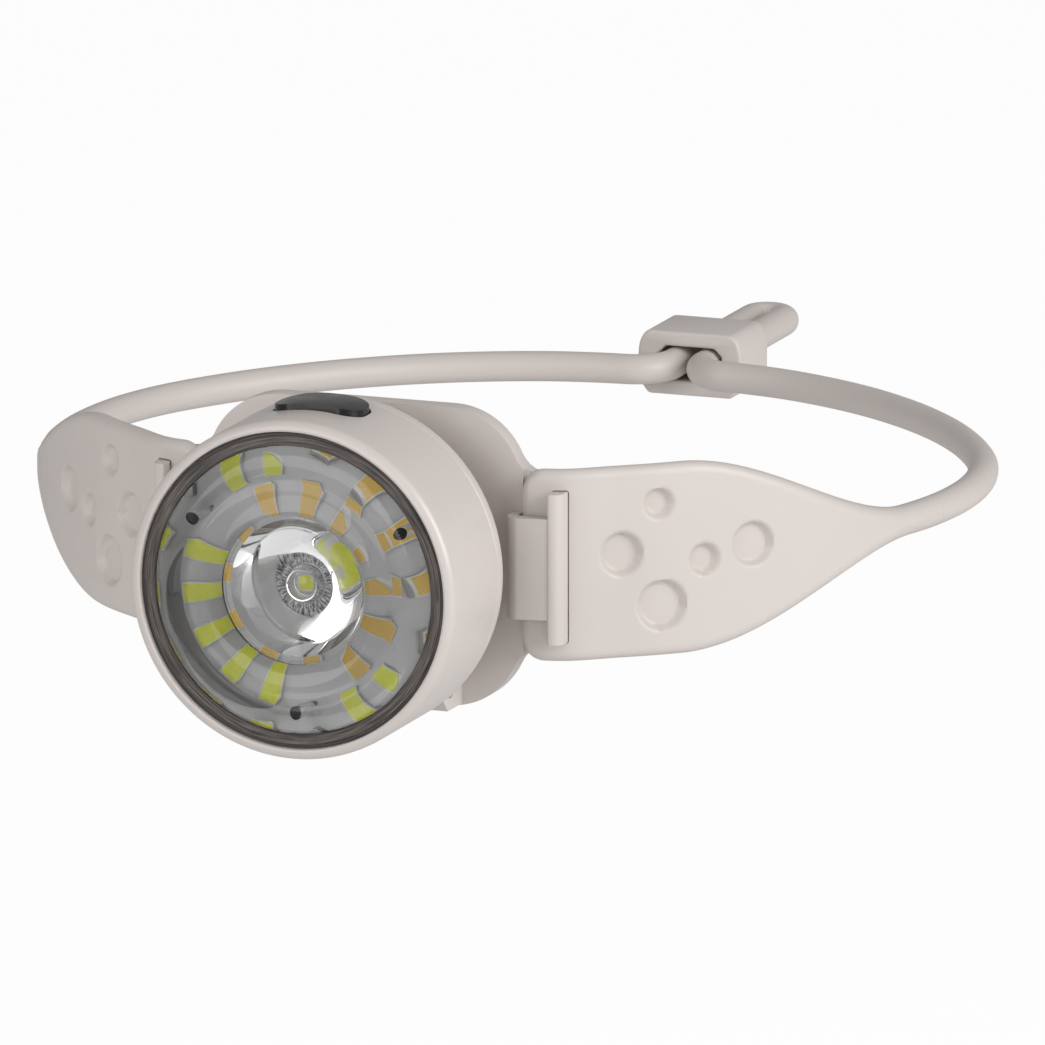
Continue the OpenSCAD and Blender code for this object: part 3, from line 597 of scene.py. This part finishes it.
def make_lens(sizes, colours):
    """The lens: a flange, two ring lenses and the cone over the middle emitter."""
    crown, foot, spot = RIM_H + 1.1, BOARD_H + 0.4, 9.8
    profile = [(0.02, RIM_H), (3.0, RIM_H), (6.5, RIM_H), (spot, RIM_H)]
    profile += [(spot, RIM_H - 0.5), (10.3, RIM_H - 0.5)]
    profile += crown_line((10.3, RIM_H), (14.9, crown), 4.4)
    profile += crown_line((15.9, crown), (19.6, RIM_H), 3.9)
    profile += [(LENS_R, RIM_H), (LENS_R, SEAT_H)]
    steps = 24
    for i in range(steps + 1):
        t = 1 - i / steps
        profile.append((3.7 + (spot - 0.4 - 3.7) * t**0.8, foot + (SEAT_H - foot) * t))
    profile += [(2.6, foot), (2.3, foot + 3.0)]
    profile += [(2.3 * math.cos(a), foot + 3.0 + 0.9 * math.sin(a))
                for a in (math.radians(8 + 8 * i) for i in range(11))]
    piece = turned("lens_moulding", profile, 224)
    for angle in (30, 150, 270):
        turn = math.radians(angle)
        set_down()
        bpy.ops.mesh.primitive_cylinder_add(
            vertices=32, radius=0.8 * MM, depth=(SEAT_H + 0.5 - BOARD_H) * MM,
            location=(17 * MM * math.cos(turn), -(SEAT_H + 0.5 + BOARD_H) / 2 * MM, 17 * MM * math.sin(turn)),
            rotation=(math.pi / 2, 0, 0),
        )
        cut(piece, settle(named("lens_leg")), "UNION")
    return smooth(piece, 24)


def make_gasket(sizes, colours):
    """The ring between the lens and the lip."""
    inner = 19.7
    profile = [(inner, RIM_H), (inner, GASKET_H - 0.08), (inner + 0.08, GASKET_H)]
    profile += [(GASKET_R - 0.5, GASKET_H)]
    profile += [(GASKET_R - 0.4, GASKET_H - 0.12), (GASKET_R - 0.12, GASKET_H - 0.12)]
    profile += [(GASKET_R, GASKET_H - 0.05), (GASKET_R, RIM_H)]
    return smooth(turned("lens_ring", profile, 192, ring=True), 30)


def make_spot_seat(sizes, colours):
    """The black ring that centres the lens cone over the middle emitter."""
    low, high = -span("spot_lens_seat", 1)[1], -span("spot_lens_seat", 1)[0]
    outer = span("spot_lens_seat", 0)[1]
    profile = [(2.75, low), (2.75, high - 0.1), (2.85, high)]
    profile += [(outer - 0.12, high), (outer, high - 0.12), (outer, low)]
    return smooth(turned("cone_seat", profile, 96, ring=True), 30)


def make_emitter(name, length, width, height, rim):
    """One emitter lying on the board at the top of the axis: a package with a phosphor field."""
    piece = slab(name, (width, height, length), (0, -BOARD_H - height / 2, 0))
    round_edges(piece, 0.1, 2)
    take(piece)
    bpy.ops.object.mode_set(mode="EDIT")
    bpy.ops.mesh.select_mode(type="FACE")
    bpy.ops.mesh.select_all(action="DESELECT")
    bpy.ops.object.mode_set(mode="OBJECT")
    for face in piece.data.polygons:
        face.select = face.normal.y < -0.99
    bpy.ops.object.mode_set(mode="EDIT")
    bpy.ops.mesh.inset(thickness=(rim - 0.1) * MM)
    bpy.ops.mesh.inset(thickness=0.04 * MM, depth=-0.04 * MM)
    bpy.ops.object.mode_set(mode="OBJECT")
    for face in piece.data.polygons:
        face.material_index = 1 if face.select else 0
    return piece


def spread(model, places, name):
    """Copies one emitter to each [radius, angle] place and joins the copies."""
    copies = []
    for radius, angle in places:
        copy = bpy.data.objects.new(name, model.data.copy())
        bpy.context.scene.collection.objects.link(copy)
        turn = Matrix.Rotation(math.radians(90 - angle), 4, "Y")
        copy.data.transform(turn @ Matrix.Translation((0, 0, radius * MM)))
        copies.append(copy)
    bpy.data.objects.remove(model)
    return joined(copies, name)


def make_cool_emitters(sizes, *materials):
    """Fifteen cool emitters in the outer ring; every sixth place holds a lens leg."""
    model = paint(make_emitter("cool_emitters", 3.5, 2.8, 0.7, sizes.emitter_rim), *materials)
    places = [(17.0, 20 * (i + 0.5)) for i in range(18) if i % 6 != 1]
    return smooth(spread(model, places, "cool_emitters"), 30)


def make_warm_emitters(sizes, *materials):
    """Twelve warm emitters in the inner ring."""
    model = paint(make_emitter("warm_emitters", 3.5, 2.8, 0.7, sizes.emitter_rim), *materials)
    return smooth(spread(model, [(12.0, 30 * i) for i in range(12)], "warm_emitters"), 30)


def make_spot_emitter(sizes, colours):
    """The square emitter in the middle."""
    piece = make_emitter("spot_emitter", 3.5, 3.5, 0.75, 0.35)
    return smooth(piece, 30)


# ------------------------------------------------------------------ band

ROUTE = [
    (23.1, -4.05), (28.8, -2.75), (34.2, 1.3), (39.2, 5.2), (43.6, 9.5),
    (48.5, 14.9), (53.2, 21.2), (57.5, 28.6), (60.8, 36.8), (63.2, 46.0),
    (64.0, 56.0), (63.0, 66.0), (60.3, 75.2), (56.0, 83.6), (50.6, 91.5),
    (44.5, 98.4), (38.0, 104.2), (31.2, 109.0), (24.0, 112.8), (16.2, 115.7),
]
NECK = 9
RUN_X = CORD_R + 0.2
BEND_R = 5.5
BEND_Y = LOCK_FRONT - 0.3 - BEND_R
TAIL_Y = LOCK_FRONT + 31.5
PADDLE_T = 2.6
CORNER = 3.0
TAPER = (22.0, 39.0)
# Stations close behind the paddle's end edge, where it is rounded
END_STEPS = (0.0, 0.04, 0.12, 0.22, 0.34)
# Length along the band, height and radius of each dimple
DIMPLES = [(13.2, 1.3, 2.65), (18.4, 7.9, 1.75), (18.9, -6.1, 3.1), (25.0, -0.3, 1.85), (32.2, 1.1, 2.7)]


def on_route(i, t):
    """Place and direction on the smooth line through the route, t along span i."""
    points = [Vector(p) for p in ROUTE] + [Vector((RUN_X + BEND_R, BEND_Y))]
    points = [2 * points[0] - points[1]] + points + [points[-1] - Vector((6.5, 0))]
    a, b, c, d = points[i:i + 4]
    place = (2 * b + (c - a) * t + (2 * a - 5 * b + 4 * c - d) * t**2 + (3 * b - a - 3 * c + d) * t**3) / 2
    way = (c - a) + 2 * (2 * a - 5 * b + 4 * c - d) * t + 3 * (3 * b - a - 3 * c + d) * t**2
    return place, way.normalized()


def ease(t):
    t = min(1.0, max(0.0, t))
    return t * t * (3 - 2 * t)


def walk(first, last, per_span):
    """Stations [place, direction] from one route point to another."""
    line = [on_route(i, k / per_span) for i in range(first, last) for k in range(per_span)]
    return line + [on_route(last - 1, 1.0)]


def measured(stations):
    """Running length at each station."""
    run = [0.0]
    for (a, _), (b, _) in zip(stations, stations[1:]):
        run.append(run[-1] + (b - a).length)
    return run


def even(stations, lengths, pitch):
    """Stations resampled at an even pitch along the line."""
    count = max(2, round((lengths[-1] - lengths[0]) / pitch))
    line, j = [], 0
    for k in range(count + 1):
        s = lengths[0] + (lengths[-1] - lengths[0]) * k / count
        while j < len(lengths) - 2 and lengths[j + 1] < s:
            j += 1
        f = min(1.0, max(0.0, (s - lengths[j]) / (lengths[j + 1] - lengths[j])))
        place = stations[j][0].lerp(stations[j + 1][0], f)
        way = stations[j][1].lerp(stations[j + 1][1], f).normalized()
        line.append((s, place, way))
    return line


def dimple_sink(s, z, sizes):
    """How far the outer face lies below the flat at a point of the band."""
    sink = 0.0
    for at, height, radius in DIMPLES:
        away = math.hypot(s - at, z - height)
        sink = max(sink, 1 - ease((away - radius + sizes.dimple_wall * 0.35) / sizes.dimple_wall))
    return sink * sizes.dimple_depth


def paddle_ring(s, place, way, sizes):
    """Rounded section of the paddle square to the line, fine on its outer face."""
    share = ease((s - TAPER[0]) / TAPER[1])
    drop = 0.0 if s >= CORNER else CORNER - math.sqrt(max(0.0, CORNER**2 - (CORNER - s) ** 2))
    height = PADDLE_H + (2 * CORD_R - PADDLE_H) * share - 2 * drop
    thick = PADDLE_T + (2 * CORD_R - PADDLE_T) * share - 0.9 * max(0.0, 1 - s) ** 2
    radius = min(thick, height) / 2 * 0.98
    normal = Vector((-way.y, way.x))
    flat = height / 2 - radius
    ring = []
    rows, edge = 64, 8

    def put(u, v):
        spot = place + normal * u
        ring.append((spot.x * MM, spot.y * MM, v * MM))

    for k in range(rows + 1):
        v = flat - 2 * flat * k / rows
        put(-thick / 2 + dimple_sink(s, v, sizes), v)
    for k in range(1, edge):
        a = math.pi * (1 + k / edge)
        put(radius * math.cos(a) * (thick / 2 / radius), -flat + radius * math.sin(a))
    for k in range(rows // 3 + 1):
        put(thick / 2, -flat + 2 * flat * k / (rows // 3))
    for k in range(1, edge):
        a = math.pi * k / edge
        put(radius * math.cos(a) * (thick / 2 / radius), flat + radius * math.sin(a))
    return ring


def cord_ring(place, way, count=32):
    normal = Vector((-way.y, way.x))
    ring = []
    for k in range(count):
        a = 2 * math.pi * k / count
        spot = place + normal * CORD_R * math.cos(a)
        ring.append((spot.x * MM, spot.y * MM, CORD_R * math.sin(a) * MM))
    return ring


def lofted(name, rings):
    """Closed skin over rings of equal numbers of points."""
    n = len(rings[0])
    faces = [
        (j * n + i, j * n + (i + 1) % n, (j + 1) * n + (i + 1) % n, (j + 1) * n + i)
        for j in range(len(rings) - 1) for i in range(n)
    ]
    base = (len(rings) - 1) * n
    faces += [tuple(range(n))[::-1], tuple(base + i for i in range(n))]
    mesh = bpy.data.meshes.new(name)
    mesh.from_pydata([p for ring in rings for p in ring], [], faces)
    piece = bpy.data.objects.new(name, mesh)
    bpy.context.scene.collection.objects.link(piece)
    return mend(piece, 0.0002)


def make_paddle(sizes, colours, side):
    """A paddle with round edges, soft dimples and the slot of the T bar."""
    stations = walk(0, NECK, 12)
    line = even(stations, measured(stations), 0.34)
    rest = [station for station in line if station[0] > END_STEPS[-1]]
    _, place, way = line[0]
    ends = [(s, place + way * s, way) for s in END_STEPS]
    rings = [paddle_ring(s, p, w, sizes) for s, p, w in ends + rest]
    piece = lofted("band_" + side, rings)
    slot = slab("hook_slot", (2.2, 20, 21.0), (28.45, -5, 0))
    cut(piece, round_edges(slot, 0.3, 3))
    if side == "left":
        take(piece)
        bpy.ops.object.mode_set(mode="EDIT")
        bpy.ops.mesh.select_all(action="SELECT")
        bpy.ops.transform.resize(value=(-1, 1, 1), center_override=(0, 0, 0))
        bpy.ops.mesh.normals_make_consistent(inside=False)
        bpy.ops.object.mode_set(mode="OBJECT")
    return smooth(piece, 50)


def make_cord(sizes, colours):
    """The round cord from neck to neck, with the doubled tail."""
    half = [(p, w) for p, w in walk(NECK, len(ROUTE), 8)]
    for k in range(1, 15):
        a = math.pi / 2 * k / 14
        half.append((Vector((RUN_X + BEND_R * (1 - math.sin(a)), BEND_Y + BEND_R * (1 - math.cos(a)))),
                     Vector((-math.cos(a), math.sin(a)))))
    for k in range(1, 12):
        half.append((Vector((RUN_X, BEND_Y + BEND_R + (TAIL_Y - BEND_Y - BEND_R) * k / 12)), Vector((0, 1))))
    for k in range(13):
        a = math.pi / 2 * k / 12
        half.append((Vector((RUN_X * math.cos(a), TAIL_Y + RUN_X * math.sin(a))),
                     Vector((-math.sin(a), math.cos(a)))))
    line = half + [(Vector((-p.x, p.y)), Vector((w.x, -w.y))) for p, w in reversed(half[:-1])]
    return smooth(lofted("band_loop", [cord_ring(p, w) for p, w in line]), 50)


# -------------------------------------------------------------------- tools


class BuildStep:
    """What every step of the build shares."""

    bl_options = {"REGISTER", "UNDO"}

    def make(self, sizes, colours):
        raise NotImplementedError

    def execute(self, context):
        scene = context.scene
        self.make(scene.headlamp_sizes, scene.headlamp_colours)
        set_down()
        return {"FINISHED"}


class HEADLAMP_OT_shells(BuildStep, bpy.types.Operator):
    """Front shell and rear shell of the lamp head"""

    bl_idname = "headlamp.shells"
    bl_label = "Lamp shells"

    def make(self, sizes, colours):
        satin = moulded("satin_sand", colours.sand, 0.32, 0.0006, 0.02, 0.2)
        give(paint(make_front_shell(sizes, colours), satin), "lamp", "shell_sand", "front_shell")
        rear = smooth(round_edges(from_node("rear_shell", "rear_shell_form"), 0.12, 2, 40), 34)
        give(paint(rear, satin), "lamp", "shell_sand", "rear_shell")


class HEADLAMP_OT_lens(BuildStep, bpy.types.Operator):
    """Lens, its ring and the seat of its cone"""

    bl_idname = "headlamp.lens"
    bl_label = "Lens"

    def make(self, sizes, colours):
        give(paint(make_lens(sizes, colours), clear_moulding("clear_lens")), "lamp", "lens_clear", "lens")
        ring = paint(make_gasket(sizes, colours), ringed_rubber("ringed_gasket"))
        give(ring, "lamp", "gasket_brown", "lens_gasket")
        seat = paint(make_spot_seat(sizes, colours), radial_grain("rayed_seat"))
        give(seat, "lamp", "seat_black", "spot_lens_seat")


class HEADLAMP_OT_emitters(BuildStep, bpy.types.Operator):
    """Cool, warm and middle emitters"""

    bl_idname = "headlamp.emitters"
    bl_label = "Emitters"

    def make(self, sizes, colours):
        white = moulded("emitter_package", srgb(214, 214, 210), 0.45, 0.004, 0.02)
        cool, warm = phosphor("cool_phosphor", colours.cool), phosphor("warm_phosphor", colours.warm)
        give(make_cool_emitters(sizes, white, cool), "lamp", "led_cool", "cool_leds")
        give(make_warm_emitters(sizes, white, warm), "lamp", "led_warm", "warm_leds")
        middle = paint(make_spot_emitter(sizes, colours), white, cool)
        give(middle, "lamp", "led_cool", "spot_led")


class HEADLAMP_OT_button(BuildStep, bpy.types.Operator):
    """Push button"""

    bl_idname = "headlamp.button"
    bl_label = "Button"

    def make(self, sizes, colours):
        piece = round_edges(from_node("button_cap", "push_button"), sizes.button_round, 4, 40)
        paint(smooth(piece, 40), polished_black("button_black", colours.button))
        give(piece, "button", "button_black", "button_cap")


class HEADLAMP_OT_port_cover(BuildStep, bpy.types.Operator):
    """Silicone cover of the charging port"""

    bl_idname = "headlamp.port_cover"
    bl_label = "Port cover"

    def make(self, sizes, colours):
        piece = round_edges(from_node("port_cover", "port_flap_form"), sizes.cover_round, 3, 40)
        paint(smooth(piece, 40), moulded("cover_silicone", colours.band, 0.52))
        give(piece, "port_flap", "cover_sand", "port_cover")


class HEADLAMP_OT_holder(BuildStep, bpy.types.Operator):
    """Forehead plate with its hooks and ears, and the forehead pad"""

    bl_idname = "headlamp.holder"
    bl_label = "Plate and pad"

    def make(self, sizes, colours):
        piece = round_edges(from_node("holder_plate", "plate_form"), sizes.plate_round, 4, 35)
        paint(smooth(piece, 40), moulded("plate_sand", colours.sand, 0.46))
        give(piece, "holder", "plate_sand", "holder_plate")
        pad = round_edges(from_node("forehead_pad", "pad_form"), sizes.pad_round, 3, 35)
        paint(smooth(pad, 40), ribbed_pad("studded_pad", colours.pad))
        give(pad, "holder", "pad_silicone", "forehead_pad")


class HEADLAMP_OT_band(BuildStep, bpy.types.Operator):
    """Silicone band: two paddles and the cord round the back"""

    bl_idname = "headlamp.band"
    bl_label = "Band"

    def make(self, sizes, colours):
        silicone = moulded("band_silicone", colours.band, 0.45, 0.008, 0.03)
        for side in ("right", "left"):
            piece = paint(make_paddle(sizes, colours, side), silicone)
            give(piece, "holder", "band_sand", "band_paddle_" + side)
        give(paint(make_cord(sizes, colours), silicone), "holder", "band_sand", "band_cord")


class HEADLAMP_OT_cord_lock(BuildStep, bpy.types.Operator):
    """Cord lock that slides on the tail"""

    bl_idname = "headlamp.cord_lock"
    bl_label = "Cord lock"

    def make(self, sizes, colours):
        piece = round_edges(from_node("cord_lock", "lock_form"), sizes.lock_round, 4, 20)
        paint(smooth(piece, 40), moulded("lock_sand", colours.lock, 0.42))
        give(piece, "lock", "lock_sand", "cord_lock")


class HEADLAMP_OT_inside(BuildStep, bpy.types.Operator):
    """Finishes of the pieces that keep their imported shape"""

    bl_idname = "headlamp.inside"
    bl_label = "Inner pieces"

    def make(self, sizes, colours):
        rubber = moulded("seal_rubber", srgb(28, 28, 28), 0.5)
        steel = ground_metal("turned_steel", srgb(200, 201, 203), 0.28)
        finishes = {
            "hinge_pin": steel,
            "shell_screws": steel,
            "shell_seal": rubber,
            "led_board": solder_mask("mask_white", colours.board, scaled(colours.board, 0.97)),
            "heat_spreader": ground_metal("rolled_aluminium", srgb(205, 206, 208), 0.34, "z"),
            "driver_board": solder_mask("mask_green", srgb(26, 92, 52), srgb(58, 128, 80)),
            "driver_chips": moulded("chip_black", srgb(38, 38, 40), 0.5),
            "cell": foil_pouch("cell_foil"),
            "cell_foam": cell_foam_finish("foam_grey"),
            "charging_socket": ground_metal("tinned_steel", srgb(214, 214, 214), 0.22, "y"),
            "switch_case": moulded("switch_black", srgb(42, 42, 44), 0.45),
            "switch_plunger": moulded("plunger_white", srgb(225, 225, 222), 0.4),
        }
        for node, material in finishes.items():
            paint(NODES[node], material)


def area(name, place, aim, width, height, power, colour=(1, 1, 1)):
    """A soft rectangular lamp that faces a point."""
    light = bpy.data.lights.new(name, "AREA")
    light.shape, light.size, light.size_y = "RECTANGLE", width, height
    light.energy, light.color = power, colour
    lamp = bpy.data.objects.new(name, light)
    lamp.location = place
    lamp.rotation_euler = (Vector(aim) - Vector(place)).to_track_quat("-Z", "Y").to_euler()
    bpy.context.scene.collection.objects.link(lamp)
    return lamp


class HEADLAMP_OT_stage(BuildStep, bpy.types.Operator):
    """Floor, backdrop light, lamps and camera"""

    bl_idname = "headlamp.stage"
    bl_label = "Stage"

    def make(self, sizes, colours):
        scene = bpy.context.scene
        scene.view_settings.view_transform = "Standard"
        lens, width = 1000.0, 0.1412
        azimuth, elevation = math.radians(20.55), math.radians(12.45)
        back = Vector((
            math.sin(azimuth) * math.cos(elevation),
            -math.cos(azimuth) * math.cos(elevation),
            math.sin(elevation),
        ))
        shot = bpy.data.cameras.new("Camera")
        shot.lens, shot.sensor_width = lens, 36.0
        shot.clip_start, shot.clip_end = 0.1, 50.0
        camera = bpy.data.objects.new("Camera", shot)
        camera.location = Vector((0.014, 0.0199, 0.0)) + back * (width * lens / 36.0)
        camera.rotation_euler = (-back).to_track_quat("-Z", "Y").to_euler()
        scene.collection.objects.link(camera)
        scene.camera = camera

        set_down()
        bpy.ops.mesh.primitive_plane_add(size=8, location=(0, 0, -0.075))
        floor = named("Floor")
        paint(floor, self.floor_finish())
        self.light_room(scene)

        area("Front_softbox", (-0.25, -0.9, 0.28), (0, 0, 0), 0.9, 0.7, 4.2)
        area("Right_softbox", (0.75, -0.12, 0.30), (0.02, 0.03, 0), 0.5, 0.5, 4.5)

    def light_room(self, scene):
        """A grey room for light, seen as white by the camera."""
        world = bpy.data.worlds.new("Room")
        scene.world = world
        world.use_nodes = True
        tree = world.node_tree
        tree.nodes.clear()
        rays = tree.nodes.new("ShaderNodeLightPath")
        plain = tree.nodes.new("ShaderNodeBackground")
        white = tree.nodes.new("ShaderNodeBackground")
        plain.inputs[0].default_value, plain.inputs[1].default_value = (1, 1, 1, 1), 0.38
        white.inputs[0].default_value, white.inputs[1].default_value = (1, 1, 1, 1), 1.0
        mix = tree.nodes.new("ShaderNodeMixShader")
        output = tree.nodes.new("ShaderNodeOutputWorld")
        tree.links.new(rays.outputs["Is Camera Ray"], mix.inputs[0])
        tree.links.new(plain.outputs[0], mix.inputs[1])
        tree.links.new(white.outputs[0], mix.inputs[2])
        tree.links.new(mix.outputs[0], output.inputs[0])

    def floor_finish(self):
        """Pale floor: white to the camera, and it keeps a soft shadow."""
        made = Finish("pale_floor", (0.86, 0.86, 0.86), 0.8)
        rays = made.add("ShaderNodeLightPath", out="Is Camera Ray")
        grain = made.noise(0.02, 2)
        made.vary(Base_Color=made.mix(grain, (0.85, 0.85, 0.85), (0.88, 0.88, 0.88)))
        glow = made.add("ShaderNodeEmission", None, {"Color": (1, 1, 1, 1), "Strength": 1.0})
        blend = made.tree.nodes.new("ShaderNodeMixShader")
        share = rays * 0.96
        made.tree.links.new(share.socket, blend.inputs[0])
        made.tree.links.new(made.shader.outputs[0], blend.inputs[1])
        made.tree.links.new(glow.socket, blend.inputs[2])
        made.tree.links.new(blend.outputs[0], made.output.inputs[0])
        return made.material


STEPS = [
    HEADLAMP_OT_stage,
    HEADLAMP_OT_shells,
    HEADLAMP_OT_lens,
    HEADLAMP_OT_emitters,
    HEADLAMP_OT_button,
    HEADLAMP_OT_port_cover,
    HEADLAMP_OT_holder,
    HEADLAMP_OT_band,
    HEADLAMP_OT_cord_lock,
    HEADLAMP_OT_inside,
]


class HEADLAMP_PT_panel(bpy.types.Panel):
    """Lists the steps of the build with their sizes and colours"""

    bl_idname = "HEADLAMP_PT_panel"
    bl_label = "Headlamp"
    bl_space_type = "VIEW_3D"
    bl_region_type = "UI"
    bl_category = "Headlamp"

    def draw(self, context):
        for group in (context.scene.headlamp_sizes, context.scene.headlamp_colours):
            box = self.layout.box()
            for key in group.__annotations__:
                box.prop(group, key)
        for step in STEPS:
            self.layout.operator(step.bl_idname)


CLASSES = [HeadlampSizes, HeadlampColours, *STEPS, HEADLAMP_PT_panel]


def register():
    for kind in CLASSES:
        bpy.utils.register_class(kind)
    bpy.types.Scene.headlamp_sizes = bpy.props.PointerProperty(type=HeadlampSizes)
    bpy.types.Scene.headlamp_colours = bpy.props.PointerProperty(type=HeadlampColours)


def unregister():
    del bpy.types.Scene.headlamp_colours
    del bpy.types.Scene.headlamp_sizes
    for kind in reversed(CLASSES):
        bpy.utils.unregister_class(kind)


def main():
    register()
    for step in STEPS:
        group, call = step.bl_idname.split(".")
        getattr(getattr(bpy.ops, group), call)()


if __name__ == "__main__":
    main()
